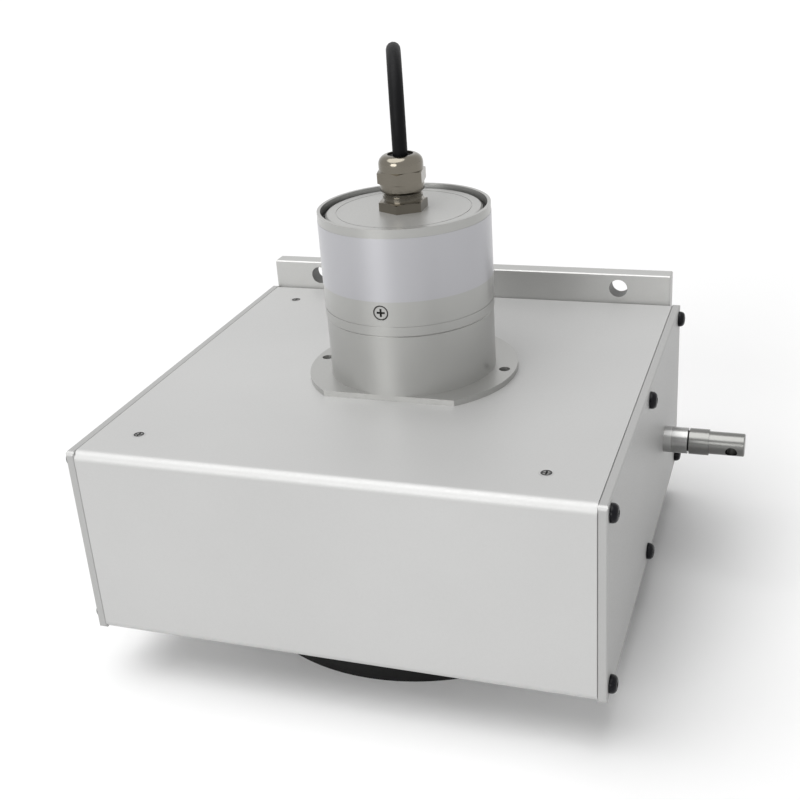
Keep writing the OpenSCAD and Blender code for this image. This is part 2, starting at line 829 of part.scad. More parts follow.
module wound_wire() {
    color("#8d8f92") rotate_extrude() {
        translate([drum_r + 0.06, wire_z - wire_d / 2])
            square([wire_d / 2, (winding_turns - 3) * groove_pitch + wire_d]);
        for (i = [0 : winding_turns - 3])
            translate([wire_y, wire_z + i * groove_pitch]) circle(d = wire_d, $fn = 8);
    }
}

// Fixed threaded tube: the drum's long nut climbs down on it
module lead_tube() {
    color("#b08d4a") difference() {
        union() {
            rod(lead_bottom_z, spigot_z + spigot_lip, lead_tube_d);
            rod(spigot_z + spigot_lip, upper_bearing_z, bearing_d);
        }
        rod(lead_bottom_z - 1, upper_bearing_z + 1, shaft_d + 2 * key_h + 0.6);
    }
}

// ---------------------------------------------------------------- bearings

bearing_pitch_d = (bearing_d + shaft_d) / 2;
groove_r = ball_d / 2 + ball_gap;

module drum_bearing_outer(z0) {
    inner_d = bearing_d - 2 * bearing_race;
    bearing_ring(z0, bearing_w, bearing_d, inner_d, bearing_pitch_d, groove_r);
}

module drum_bearing_inner(z0) {
    outer_d = shaft_d + 2 * bearing_race;
    bearing_ring(z0, bearing_w, outer_d, shaft_d, bearing_pitch_d, groove_r);
}

module upper_bearing_outer() {
    color("#b4b6b8") drum_bearing_outer(upper_bearing_z);
}

module upper_bearing_inner() {
    color("#b4b6b8") drum_bearing_inner(upper_bearing_z);
}

module upper_bearing_balls() {
    color("#d0d1d2") bearing_balls(upper_bearing_z, bearing_w, bearing_pitch_d, ball_d, ball_count);
}

module lower_bearing_outer() {
    color("#b4b6b8") drum_bearing_outer(lower_bearing_z);
}

module lower_bearing_inner() {
    color("#b4b6b8") drum_bearing_inner(lower_bearing_z);
}

module lower_bearing_balls() {
    color("#d0d1d2") bearing_balls(lower_bearing_z, bearing_w, bearing_pitch_d, ball_d, ball_count);
}

module lower_bearing_carrier() {
    color("#b8babc") difference() {
        union() {
            rod(carrier_z, floor_z, carrier_spigot_d);
            rod(bottom_z - carrier_t, bottom_z, carrier_d);
        }
        rod(lower_bearing_z, floor_z + 1, bearing_d);
        rod(carrier_z - 1, floor_z, bearing_d - 2 * bearing_race - 0.4);
        for (a = carrier_screw_angles)
            rotate([0, 0, a]) translate([carrier_screw_r, 0, bottom_z - carrier_t]) mirror([0, 0, 1])
                countersunk_hole(carrier_screw_d + 2 * thread_gap, carrier_t + 1, carrier_screw_head_d + 0.2);
    }
}

module carrier_screws() {
    color("#9a9c9e") for (a = carrier_screw_angles)
        rotate([0, 0, a]) translate([carrier_screw_r, 0, bottom_z - carrier_t]) mirror([0, 0, 1])
            countersunk_screw(carrier_screw_d, carrier_t + housing_wall - 0.5, carrier_screw_head_d);
}

// ---------------------------------------------------------------- spring cup

module spring_cup() {
    color("#2a2c2e") difference() {
        union() {
            difference() {
                rod(0, bottom_z, spring_cup_d);
                rod(cup_floor_t, bottom_z + 1, 2 * cup_inner_r);
            }
            for (a = cup_screw_angles)
                rotate([0, 0, a]) translate([cup_boss_circle_r, 0, 0]) {
                    rod(cup_floor_t - 1, bottom_z, 2 * cup_boss_r);
                    translate([0, -cup_boss_r, cup_floor_t - 1])
                        cube([cup_boss_r + 0.4, 2 * cup_boss_r, bottom_z - cup_floor_t + 1]);
                }
        }
        for (a = cup_screw_angles)
            rotate([0, 0, a]) translate([cup_boss_circle_r, 0, 0]) {
                rod(-1, bottom_z + 1, cup_screw_d + 0.3);
                rod(-1, cup_head_depth, 6.1);
            }
    }
}

module spring_cup_screws() {
    color("#202224") for (a = cup_screw_angles)
        rotate([0, 0, a]) translate([cup_boss_circle_r, 0, cup_head_depth]) mirror([0, 0, 1])
            button_screw(cup_screw_d, bottom_z - cup_head_depth + housing_wall - 0.5, 5.6, 2.4);
}

module spring_arbor() {
    color("#9a9c9e") difference() {
        rod(shaft_bottom_z, spring_z + spring_h, arbor_d);
        rod(shaft_bottom_z - 1, spring_z + spring_h + 1, shaft_d);
    }
}

// Coiled strip from the arbor to the cup's first boss, one point every 12 degrees
module power_spring() {
    r0 = arbor_d / 2 + 0.1;
    end_a = cup_screw_angles[0];
    steps = spring_turns * 30;
    line = [for (i = [0 : steps])
        [r0 + (spring_outer_r - r0) * i / steps, end_a - 12 * (steps - i)]];
    color("#5a5d61") translate([0, 0, spring_z]) linear_extrude(spring_h) polygon(concat(
        [for (p = line) [p[0] * cos(p[1]), p[0] * sin(p[1])]],
        [for (i = [steps : -1 : 0])
            let (p = line[i], r = p[0] + spring_strip_t)
            [r * cos(p[1]), r * sin(p[1])]]
    ));
}

// ---------------------------------------------------------------- sensor head

module encoder_base() {
    color("silver") difference() {
        union() {
            rod(spigot_z, top_z + 1, spigot_d);
            difference() {
                rod(top_z, top_z + flange_t, flange_d);
                translate([-flange_d, flange_flat_y - flange_d, top_z - 1])
                    cube([2 * flange_d, flange_d, flange_t + 1]);
            }
            rod(top_z + flange_t, seam_z - 0.2, base_body_d);
            translate([0, 0, seam_z - 0.2]) cylinder(h = 0.2, d1 = base_body_d, d2 = base_body_d - 0.4);
            rod(seam_z, register_z, register_d);
        }
        rod(spigot_z - 1, chamber_z, lead_tube_d + 0.2);
        rod(spigot_z + spigot_lip, chamber_z, bearing_d);
        rod(chamber_z, seam_z + 1, chamber_d);
        rod(seam_z, register_z + 1, deck_d);
        for (a = [0, 180])
            rotate([0, 0, a]) translate([flange_hole_circle_d / 2, 0, 0])
                rod(top_z - 1, top_z + flange_t + 1, flange_hole_d);
        for (a = head_screw_angles)
            rotate([0, 0, a]) translate([head_screw_r, 0, 0])
                rod(top_z - 1, top_z + head_screw_grip + 0.5, head_screw_d + 2 * thread_gap);
        for (a = tube_screw_angles)
            rotate([0, 0, a]) translate([deck_d / 2 - 1, 0, tube_screw_z]) rotate([0, 90, 0])
                cylinder(h = tube_screw_l + 2.2, d = tube_screw_d + 2 * thread_gap);
    }
}

module encoder_base_screws() {
    color("#9a9c9e") for (a = head_screw_angles)
        rotate([0, 0, a]) translate([head_screw_r, 0, ceiling_z]) mirror([0, 0, 1])
            button_screw(head_screw_d, housing_wall + head_screw_grip, head_screw_head_d, head_screw_head_h);
}

// Clamping coupling with bending slots between the two shafts
module shaft_coupling() {
    color("#a9abad") difference() {
        rod(coupling_z, coupling_z + coupling_l, coupling_d);
        rod(coupling_z - 1, shaft_top_z + 0.5, shaft_d);
        rod(shaft_top_z, coupling_z + coupling_l + 1, encoder_shaft_d);
        for (i = [0 : 2])
            translate([0, 0, coupling_z + coupling_l / 2 + slot_pitch * (i - 1)]) rotate([0, 0, 120 * i])
                translate([-coupling_d / 2 - 1, -coupling_d, -slot_w / 2])
                    cube([coupling_d + 2, coupling_d + 2, slot_w]);
    }
}

module encoder_shaft() {
    color("#c9cacc") union() {
        rod(encoder_shaft_z, deck_top_z, encoder_shaft_d);
        rod(deck_z - 1, deck_top_z - head_bearing_w, encoder_shaft_d + 1.6);
        rod(deck_top_z, pinion_z, 3);
        rod(pinion_z, pinion_z + pinion_h, arbor_pin_d);
    }
}

module bearing_deck() {
    color("#b8babc") difference() {
        rod(deck_z, deck_top_z, deck_d - 0.1);
        rod(deck_top_z - head_bearing_w, deck_top_z + 1, head_bearing_d);
        rod(deck_z - 1, deck_top_z, head_bearing_d - 3);
        translate([-centre_distance, 0, 0])
            rod(deck_top_z - pivot_hole_depth, deck_top_z + 1, pivot_d + 2 * running_gap);
        for (a = post_angles)
            rotate([0, 0, a]) translate([post_r, 0, 0])
                rod(deck_top_z - post_thread_l - 0.5, deck_top_z + 1, post_screw_d + 2 * thread_gap);
    }
}

head_bearing_z = deck_top_z - head_bearing_w;
head_bearing_pitch_d = (head_bearing_d + encoder_shaft_d) / 2;
head_groove_r = head_ball_d / 2 + ball_gap;

module head_bearing_ring(outer_d, inner_d) {
    bearing_ring(head_bearing_z, head_bearing_w, outer_d, inner_d, head_bearing_pitch_d, head_groove_r);
}

module head_bearing_outer() {
    color("#b4b6b8") head_bearing_ring(head_bearing_d, head_bearing_d - 2 * head_bearing_race);
    color("#d0d1d2")
        bearing_balls(head_bearing_z, head_bearing_w, head_bearing_pitch_d, head_ball_d, ball_count + 2);
}

module head_bearing_inner() {
    color("#b4b6b8") head_bearing_ring(encoder_shaft_d + 2 * head_bearing_race, encoder_shaft_d);
}

// ---------------------------------------------------------------- gear train

module shaft_pinion() {
    color("#b08d4a") translate([0, 0, pinion_z]) difference() {
        gear_wheel(shaft_pinion_teeth, pinion_h, 1);
        rod(-1, pinion_h + 1, arbor_pin_d);
    }
}

module idler_gear() {
    color("#b08d4a") translate([-centre_distance, 0, 0]) {
        translate([0, 0, idler_z]) rotate([0, 0, 180 / idler_wheel_teeth])
            gear_wheel(idler_wheel_teeth, idler_wheel_h, 1);
        translate([0, 0, idler_z + idler_wheel_h]) rotate([0, 0, 180 / idler_pinion_teeth])
            gear_wheel(idler_pinion_teeth, idler_pinion_h, 1);
        rod(deck_top_z - pivot_hole_depth + end_float, idler_z, pivot_d);
        rod(deck_top_z + end_float, idler_z, idler_step_d);
        rod(idler_z + idler_wheel_h + idler_pinion_h, gear_plate_z - end_float, idler_neck_d);
        rod(gear_plate_z - end_float, gear_plate_z + gear_plate_t - end_float, pivot_d);
    }
}

module sensor_gear() {
    color("#b08d4a") union() {
        translate([0, 0, sensor_z]) gear_wheel(sensor_wheel_teeth, sensor_wheel_h, 1);
        rod(sensor_z + sensor_wheel_h, gear_plate_z - end_float, sensor_hub_d);
        rod(gear_plate_z - end_float, magnet_z, sensor_arbor_d);
    }
}

module sensor_magnet() {
    color("#3a3c3e") rod(magnet_z, magnet_z + magnet_h, magnet_d);
}

module gear_plate() {
    color("#c9b26a") difference() {
        rod(gear_plate_z, gear_plate_z + gear_plate_t, deck_d - 2);
        rod(gear_plate_z - 1, gear_plate_z + gear_plate_t + 1, sensor_arbor_d + 2 * running_gap);
        translate([-centre_distance, 0, 0])
            rod(gear_plate_z - 1, gear_plate_z + gear_plate_t + 1, pivot_d + 2 * running_gap);
        for (a = post_angles)
            rotate([0, 0, a]) translate([post_r, 0, 0])
                rod(gear_plate_z - 1, gear_plate_z + gear_plate_t + 1, post_screw_d + 2 * seat_gap);
    }
}

module gear_posts() {
    color("#c9cacc") for (a = post_angles)
        rotate([0, 0, a]) translate([post_r, 0, 0]) {
            rod(deck_top_z, gear_plate_z, post_d);
            rod(deck_top_z - post_thread_l, board_z + board_t + post_nut_h, post_screw_d);
            rod(gear_plate_z + gear_plate_t, board_z, post_d);
            hex_bar(board_z + board_t, board_z + board_t + post_nut_h, post_d);
        }
}

module circuit_board() {
    color("#2f6b3a") difference() {
        rod(board_z, board_z + board_t, deck_d - 1);
        for (a = post_angles)
            rotate([0, 0, a]) translate([post_r, 0, 0])
                rod(board_z - 1, board_z + board_t + 1, post_screw_d + 2 * seat_gap);
    }
    color("#1b1c1e") {
        translate([-2.5, -2, board_z - 0.95]) cube([5, 4, 0.95]);
        translate([-12, 4, board_z + board_t]) cube([7, 7, 1]);
        translate([3, 8, board_z + board_t]) cube([5, 4, 1.2]);
        translate([8, -6, board_z + board_t]) cube([6, 4, 1.2]);
    }
}

module terminal_block() {
    color("#3f7f4a") difference() {
        translate([-4.6, -13 - terminal_w, board_z + board_t]) cube([terminal_l, terminal_w, terminal_h]);
        for (i = [0 : 3])
            translate([-2.7 + terminal_pitch * i, -13 - terminal_w / 2, board_z + board_t + 2])
                cylinder(h = terminal_h, d = 2.2);
        for (i = [0 : 3])
            translate([-2.7 + terminal_pitch * i, -14, board_z + board_t + 1.6]) rotate([-90, 0, 0])
                cylinder(h = 2, d = 1.6);
    }
}

// ---------------------------------------------------------------- tube and cap

module encoder_tube() {
    color("silver") difference() {
        rod(seam_z, rim_z, head_d);
        rotate_extrude() polygon([
            [head_d / 2 - seam_chamfer, seam_z],
            [head_d / 2 + 1, seam_z - 1],
            [head_d / 2 + 1, seam_z + 1 + seam_chamfer],
        ]);
        rotate_extrude() translate([head_d / 2 - 0.15, line_z]) square([1, 0.3]);
        rod(seam_z - 1, cap_z - 2, tube_inner_d);
        rod(cap_z - 3, cap_z + 1, tube_inner_d - 3.4);
        rod(cap_z, rim_z + 1, tube_inner_d);
        for (a = tube_screw_angles)
            rotate([0, 0, a]) translate([tube_screw_top, 0, tube_screw_z]) rotate([0, 90, 0]) {
                countersunk_hole(tube_screw_d + 2 * thread_gap, tube_screw_l + 0.2, tube_screw_head_d + 0.2);
                cylinder(h = 2, d = tube_screw_head_d + 0.2);
            }
    }
}

module tube_screws() {
    color("#8e9093") for (a = tube_screw_angles)
        rotate([0, 0, a]) translate([tube_screw_top, 0, tube_screw_z]) rotate([0, 90, 0])
            countersunk_screw(tube_screw_d, tube_screw_l, tube_screw_head_d);
}

module end_cap() {
    color("silver") difference() {
        rotate_extrude() polygon([
            [gland_thread_d / 2 + thread_gap, cap_z],
            [tube_inner_d / 2 - seat_gap, cap_z],
            [tube_inner_d / 2 - seat_gap, cap_z + 2.4],
            [tube_inner_d / 2 - 1.6, cap_z + 2.4],
            [tube_inner_d / 2 - 1.6, cap_top_z - 0.6],
            [tube_inner_d / 2 - 2.2, cap_top_z],
            [gland_thread_d / 2 + thread_gap, cap_top_z]
        ]);
        rotate_extrude() translate([cap_line_d / 2, cap_top_z - 0.15]) square([0.3, 1]);
    }
}

module cap_seal() {
    color("#1a1a1b") rotate_extrude()
        translate([tube_inner_d / 2 - 0.8, cap_z + 2.4 + 0.74]) circle(0.74, $fn = 32);
}

// ---------------------------------------------------------------- gland

gland_bore_d = cable_d + 1;
gland_core_z = gland_hex_z + 2;

module gland_body() {
    color("#b9b5ab") difference() {
        union() {
            rotate([0, 0, gland_base_turn])
                turned_hex(cap_top_z, cap_top_z + gland_base_h, gland_af, gland_hex_edge, false);
            rod(cap_top_z + gland_base_h, gland_nut_z, gland_neck_d);
            translate([0, 0, gland_nut_z - gland_neck_h / 2 - gland_ring_h / 2])
                rod(0, gland_ring_h, gland_ring_d);
            rod(cap_z - 3.5, gland_core_z, gland_thread_d);
        }
        rod(cap_z - 4.5, gland_core_z + 1, gland_bore_d);
    }
}

module gland_nut() {
    color("#b9b5ab") difference() {
        union() {
            translate([0, 0, gland_nut_z])
                cylinder(h = gland_taper, d1 = gland_collar_d - 1.4, d2 = gland_collar_d);
            rod(gland_nut_z + gland_taper, gland_hex_z + 0.3, gland_collar_d);
            rotate([0, 0, gland_nut_turn])
                turned_hex(gland_hex_z, gland_dome_z, gland_af + 0.3, gland_hex_edge, true);
            rod(gland_dome_z - 0.3, gland_top_z - gland_dome_r, gland_collar_d);
            intersection() {
                rod(gland_top_z - gland_dome_r, gland_top_z, gland_collar_d);
                translate([0, 0, gland_top_z - gland_dome_r]) rotate_extrude() {
                    square([gland_collar_d / 2 - gland_dome_r, gland_dome_r]);
                    translate([gland_collar_d / 2 - gland_dome_r, 0]) circle(gland_dome_r);
                }
            }
        }
        rod(gland_nut_z - 1, gland_core_z + 0.3, gland_thread_d + 2 * thread_gap);
        rod(gland_core_z, gland_top_z - 2, seal_d + 0.2);
        rod(gland_core_z, gland_top_z + 1, gland_mouth_d);
    }
}

module gland_seal() {
    color("#1a1a1b") difference() {
        union() {
            rod(gland_core_z, gland_top_z - 2.1, seal_d);
            rod(gland_core_z, cable_exit_z, gland_mouth_d - 0.2);
        }
        rod(gland_core_z - 1, cable_exit_z + 1, cable_d + 0.1);
    }
}

module gland_locknut() {
    color("#b9b5ab") difference() {
        hex_bar(cap_z - 3, cap_z, gland_af + 2);
        rod(cap_z - 4, cap_z + 1, gland_thread_d + 2 * thread_gap);
    }
}

// ---------------------------------------------------------------- cable

module inner_cable() {
    color("#1b1c1e") rod(cap_z - 3.2, cable_exit_z, cable_d);
}

module cable() {
    side_dir = [cos(cable_heading), sin(cable_heading), 0];
    color("#1b1c1e") swept_tube(cable_path, cable_d, cable_sides, side_dir);
}

// Wound ring of cable behind the housing, standing on the same surface. The top
// row lacks its inmost turn.
module cable_coil() {
    step = cable_d - 0.1;
    color("#1b1c1e") translate([coil_centre[0], coil_centre[1], 0]) rotate_extrude()
        for (j = [0 : coil_rows - 1], i = [j == coil_rows - 1 ? 1 - coil_reach : -coil_reach : coil_reach])
            translate([coil_turn_r + i * step, cable_d / 2 + j * step]) circle(d = cable_d, $fn = 32);
}

// ---------------------------------------------------------------- assembly

main_housing();
base_plate();
base_plate_screws();
left_end_plate();
right_end_plate();
end_plate_screws();
spacer_columns();
column_screws();
outlet_nozzle();
outlet_lock_ring();
outlet_nut();
guide_eyelet();
bumper_ring();
wire_clamp();
wire_end_piece();
wire_ferrule();
measuring_wire();
drive_shaft();
shaft_key();
cable_drum();
wound_wire();
lead_tube();
upper_bearing_outer();
upper_bearing_inner();
upper_bearing_balls();
lower_bearing_carrier();
carrier_screws();
lower_bearing_outer();
lower_bearing_inner();
lower_bearing_balls();
spring_cup();
spring_cup_screws();
spring_arbor();
power_spring();
encoder_base();
encoder_base_screws();
shaft_coupling();
encoder_shaft();
bearing_deck();
head_bearing_outer();
head_bearing_inner();
shaft_pinion();
idler_gear();
sensor_gear();
sensor_magnet();
gear_plate();
gear_posts();
circuit_board();
terminal_block();
encoder_tube();
tube_screws();
end_cap();
cap_seal();
gland_body();
gland_nut();
gland_seal();
gland_locknut();
inner_cable();
cable();
cable_coil();
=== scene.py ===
"""Draw wire encoder: camera, light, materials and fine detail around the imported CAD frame.

Everything is in metres in the CAD frame: Z is the drum's axis, the wire leaves along +X,
the mounting plate is at +Y and Z = 0 is the underside of the spring cup.
"""

import json
import math

import bpy
from mathutils import Matrix, Vector


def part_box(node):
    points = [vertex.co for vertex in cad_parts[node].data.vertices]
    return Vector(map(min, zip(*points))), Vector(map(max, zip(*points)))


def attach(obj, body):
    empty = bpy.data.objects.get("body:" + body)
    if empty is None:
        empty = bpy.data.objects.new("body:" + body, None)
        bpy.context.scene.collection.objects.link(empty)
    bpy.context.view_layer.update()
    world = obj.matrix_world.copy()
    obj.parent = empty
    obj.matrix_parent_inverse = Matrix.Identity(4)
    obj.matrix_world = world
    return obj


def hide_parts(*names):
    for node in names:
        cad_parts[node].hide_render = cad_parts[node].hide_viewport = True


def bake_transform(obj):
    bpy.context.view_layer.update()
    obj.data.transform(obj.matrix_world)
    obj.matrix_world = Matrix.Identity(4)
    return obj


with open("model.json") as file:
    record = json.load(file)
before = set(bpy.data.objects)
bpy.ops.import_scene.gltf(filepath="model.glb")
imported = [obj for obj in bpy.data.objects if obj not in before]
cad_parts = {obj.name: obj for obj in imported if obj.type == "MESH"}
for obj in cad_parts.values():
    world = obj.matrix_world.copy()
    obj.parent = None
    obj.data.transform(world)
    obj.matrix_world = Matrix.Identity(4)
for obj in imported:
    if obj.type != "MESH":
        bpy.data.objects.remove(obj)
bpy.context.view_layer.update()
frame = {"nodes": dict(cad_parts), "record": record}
nodes = frame["nodes"]
MM = 0.001


def link(obj):
    """Puts a new object in the scene and returns it."""
    bpy.context.scene.collection.objects.link(obj)
    return obj


# ------------------------------------------------------------------ camera

CAMERA_AT = (0.13176, -0.37217, 0.25049)
CAMERA_YAW, CAMERA_PITCH, CAMERA_ROLL = 20.347, -24.136, -4.152
CAMERA_LENS = 54.588


def make_camera():
    """The photograph's viewpoint: yaw from +Y towards -X, pitch up, roll about the view."""
    yaw, pitch, roll = map(math.radians, (CAMERA_YAW, CAMERA_PITCH, CAMERA_ROLL))
    ahead = Vector((-math.sin(yaw) * math.cos(pitch), math.cos(yaw) * math.cos(pitch), math.sin(pitch)))
    level = ahead.cross(Vector((0, 0, 1))).normalized()
    over = level.cross(ahead)
    right = level * math.cos(roll) + over * math.sin(roll)
    up = over * math.cos(roll) - level * math.sin(roll)
    data = bpy.data.cameras.new("camera")
    data.sensor_width = 36
    data.lens = CAMERA_LENS
    data.clip_start, data.clip_end = 0.01, 100
    camera = link(bpy.data.objects.new("camera", data))
    turn = Matrix((right, up, -ahead)).transposed().to_4x4()
    camera.matrix_world = Matrix.Translation(CAMERA_AT) @ turn
    bpy.context.scene.camera = camera


# ------------------------------------------------------------------ materials

ALUMINIUM = (0.52, 0.52, 0.515)
# Painted shade for the walls of the mounting plate's holes.
HOLE_SHADE = (0.14, 0.14, 0.135)
# Painted shade in the recesses round the column screws' heads.
SCREW_SHADE = (0.03, 0.03, 0.03)

# Places on the CAD part. Holes and column screws are pairs of coordinates across their axes.
PLATE_HOLES = [(x * MM, z * MM) for x in (-67.2, 58.8) for z in (90.8, 13.7)]
PLATE_HOLE_R = 3.5 * MM
COLUMN_SCREWS = [(x * MM, y * MM) for x, y in ((-71.8, -67.8), (62.2, -67.8), (-71.8, 61.7))]
TUBE_SCREW_ANGLES = (30, 150, 270)
TUBE_SCREW_Z = 116.8 * MM
TUBE_R = 29 * MM


class Shader:
    """A node tree with short calls for the few nodes that the materials here use."""

    def __init__(self, name):
        self.mat = bpy.data.materials.new(name)
        self.mat.use_nodes = True
        self.tree = self.mat.node_tree
        self.bsdf = self.tree.nodes["Principled BSDF"]
        self.spot = self.tree.nodes.new("ShaderNodeTexCoord").outputs["Object"]

    def node(self, kind, **values):
        made = self.tree.nodes.new(kind)
        for key, value in values.items():
            setattr(made, key, value)
        return made

    def join(self, source, target):
        self.tree.links.new(source, target)

    def put(self, value, socket):
        """Sets a socket to a number or a colour, or joins another socket to it."""
        if isinstance(value, (int, float)):
            socket.default_value = value
        elif isinstance(value, tuple):
            socket.default_value = (*value, 1)
        else:
            self.join(value, socket)

    def axes(self):
        """The three object coordinates."""
        parts = self.node("ShaderNodeSeparateXYZ")
        self.join(self.spot, parts.inputs[0])
        return parts.outputs

    def stretched(self, scale):
        """Object coordinates times three factors."""
        mapping = self.node("ShaderNodeMapping")
        mapping.inputs["Scale"].default_value = scale
        self.join(self.spot, mapping.inputs["Vector"])
        return mapping.outputs["Vector"]

    def noise(self, scale, detail=2.0, rough=0.5, where=None):
        made = self.node("ShaderNodeTexNoise")
        made.inputs["Scale"].default_value = scale
        made.inputs["Detail"].default_value = detail
        made.inputs["Roughness"].default_value = rough
        self.join(where or self.spot, made.inputs["Vector"])
        return made.outputs["Fac"]

    def span(self, source, low, high, start=0.3, stop=0.7):
        """source from start..stop mapped to low..high."""
        made = self.node("ShaderNodeMapRange")
        for key, value in zip(("From Min", "From Max", "To Min", "To Max"), (start, stop, low, high)):
            made.inputs[key].default_value = value
        self.join(source, made.inputs["Value"])
        return made.outputs["Result"]

    def blend(self, fac, low, high):
        """Two colours mixed by a value."""
        made = self.node("ShaderNodeMix", data_type="RGBA")
        self.join(fac, made.inputs["Factor"])
        for socket, value in zip(made.inputs[6:8], (low, high)):
            self.put(value, socket)
        return made.outputs[2]

    def maths(self, how, a, b=0.0):
        made = self.node("ShaderNodeMath", operation=how)
        for socket, value in zip(made.inputs, (a, b)):
            self.put(value, socket)
        return made.outputs[0]

    def length(self, a, b):
        """Length of the vector that has the components a and b."""
        squares = [self.maths("POWER", side, 2.0) for side in (a, b)]
        return self.maths("SQRT", self.maths("ADD", *squares))

    def least(self, values):
        """The smallest of some values."""
        low, *rest = values
        for value in rest:
            low = self.maths("MINIMUM", low, value)
        return low

    def from_lines(self, a, b, lines):
        """Distance from the nearest of some lines, each given by where it crosses a and b."""
        gaps = []
        for at_a, at_b in lines:
            gaps.append(self.length(self.maths("SUBTRACT", a, at_a), self.maths("SUBTRACT", b, at_b)))
        return self.least(gaps)

    def bump(self, height, depth, strength):
        """Relief of a depth in millimetres."""
        made = self.node("ShaderNodeBump")
        made.inputs["Distance"].default_value = depth * MM
        made.inputs["Strength"].default_value = strength
        self.join(height, made.inputs["Height"])
        return made.outputs["Normal"]

    def use(self, colour, rough, normal=None, **fixed):
        """Wires colour, roughness and normal, and sets the shader's other sockets."""
        self.put(colour, self.bsdf.inputs["Base Color"])
        self.put(rough, self.bsdf.inputs["Roughness"])
        if normal:
            self.join(normal, self.bsdf.inputs["Normal"])
        for key, value in fixed.items():
            self.bsdf.inputs[key.replace("_", " ")].default_value = value
        return self.mat


def shade(colour, factor):
    """A colour made darker or lighter by a factor."""
    return tuple(min(1.0, c * factor) for c in colour)


def satin(name, colour, metal=0.5, rough=0.48, grain=1500, depth=0.06, vary=0.05, holes=()):
    """Blasted and anodised aluminium: a fine even tooth, faint clouds, and painted shade on the walls of its
    holes.
    """
    s = Shader(name)
    clouds = s.noise(14, 3)
    tooth = s.noise(grain, 2, 0.6)
    paint = s.blend(s.span(clouds, 0, 1), shade(colour, 0.975), shade(colour, 1.02))
    if holes:
        x, _, z = s.axes()
        # Painted shade: the walls of the holes are darkened as if in shadow.
        hole_shade = s.span(s.from_lines(x, z, holes), 1, 0, PLATE_HOLE_R + 0.03 * MM, PLATE_HOLE_R + 0.10 * MM)
        paint = s.blend(hole_shade, paint, HOLE_SHADE)
    return s.use(paint, s.span(tooth, rough - vary, rough + vary), s.bump(tooth, depth, 0.35), Metallic=metal)


def lathed(name, colour, metal=0.7, rough=0.36, grain=1500, depth=0.012):
    """Metal turned about the drum's axis, whose highlights run along that axis."""
    mat = satin(name, colour, metal, rough, grain, depth, 0.015)
    tree = mat.node_tree
    along = tree.nodes.new("ShaderNodeTangent")
    along.direction_type = "RADIAL"
    along.axis = "Z"
    bsdf = tree.nodes["Principled BSDF"]
    tree.links.new(along.outputs[0], bsdf.inputs["Tangent"])
    bsdf.inputs["Anisotropic"].default_value = 0.6
    bsdf.inputs["Anisotropic Rotation"].default_value = 0.25
    return mat


def turned(name, colour, metal=0.5, rough=0.42):
    """Turned metal with fine rings along Z, for the pieces inside."""
    s = Shader(name)
    lines = s.noise(3500, 3, 0.65, s.stretched((0.02, 0.02, 1.0)))
    clouds = s.noise(22, 3)
    tooth = s.noise(2200, 2)
    both = s.maths("ADD", s.maths("MULTIPLY", lines, 0.7), s.maths("MULTIPLY", tooth, 0.3))
    return s.use(
        s.blend(s.span(clouds, 0, 1), shade(colour, 0.97), shade(colour, 1.02)),
        s.span(lines, rough - 0.07, rough + 0.08),
        s.bump(both, 0.04, 0.4),
        Metallic=metal,
    )


def plain_metal(name, colour, rough=0.3, metal=1.0, wear=0.1, grain=900, depth=0.03, gloss=0.5):
    """Metal with slightly uneven gloss and small marks."""
    s = Shader(name)
    clouds = s.noise(60, 4)
    fine = s.noise(grain, 3)
    return s.use(
        s.blend(s.span(clouds, 0, 1), shade(colour, 0.92), shade(colour, 1.04)),
        s.span(fine, rough - wear / 2, rough + wear / 2),
        s.bump(fine, depth, 0.3),
        Metallic=metal,
        Specular_IOR_Level=gloss,
    )


def smooth_steel(name, colour, rough, depth=0.003):
    """Ground steel with an even gloss, for the wire outlet and the wire's end."""
    return plain_metal(name, colour, rough, wear=0.02, grain=500, depth=depth)


def moulded(name, colour, rough=0.5, grain=1100, depth=0.1, gloss=0.5):
    """Plastic or rubber with a fine moulded skin."""
    s = Shader(name)
    clouds = s.noise(45, 3)
    skin = s.noise(grain, 3)
    return s.use(
        s.blend(s.span(clouds, 0, 1), shade(colour, 0.85), shade(colour, 1.15)),
        s.span(skin, rough - 0.06, rough + 0.08),
        s.bump(skin, depth, 0.4),
        Specular_IOR_Level=gloss,
    )


def tube_screw_look():
    """Steel with painted shade in the cross recess and in a ring round each head, where the gap lies in
    shadow.
    """
    s = Shader("tube_screw_steel")
    x, y, z = s.axes()
    height = s.maths("SUBTRACT", z, TUBE_SCREW_Z)
    gaps = []
    for angle in map(math.radians, TUBE_SCREW_ANGLES):
        along_y = s.maths("MULTIPLY", y, math.cos(angle))
        along_x = s.maths("MULTIPLY", x, math.sin(angle))
        gaps.append(s.length(s.maths("SUBTRACT", along_y, along_x), height))
    # Painted shade in the ring round each head and in the cross recess.
    shade_ring = s.span(s.least(gaps), 0, 1, 1.95 * MM, 2.25 * MM)
    recess_shade = s.span(s.length(x, y), 1, 0, TUBE_R - 0.55 * MM, TUBE_R - 0.20 * MM)
    return s.use(
        s.blend(s.maths("MAXIMUM", shade_ring, recess_shade), (0.42, 0.42, 0.41), (0.03, 0.03, 0.028)),
        s.span(s.noise(900, 3), 0.28, 0.38),
        Metallic=0.9,
    )


def column_screw_look():
    """Small recessed heads: a lighter middle in a ring of painted shade where the recess lies in shadow, with
    the housing's own colour around.
    """
    s = Shader("column_screw_steel")
    x, y, _ = s.axes()
    nearest = s.from_lines(x, y, COLUMN_SCREWS)
    # Painted shade: a dark ring where the recess round the head lies in shadow.
    shade_ring = s.span(nearest, 0, 1, 1.05 * MM, 1.25 * MM)
    rim = s.span(nearest, 0, 1, 1.70 * MM, 1.80 * MM)
    head = s.blend(shade_ring, (0.26, 0.26, 0.255), SCREW_SHADE)
    return s.use(s.blend(rim, head, ALUMINIUM), s.span(s.noise(900, 3), 0.48, 0.56), Metallic=0.4)


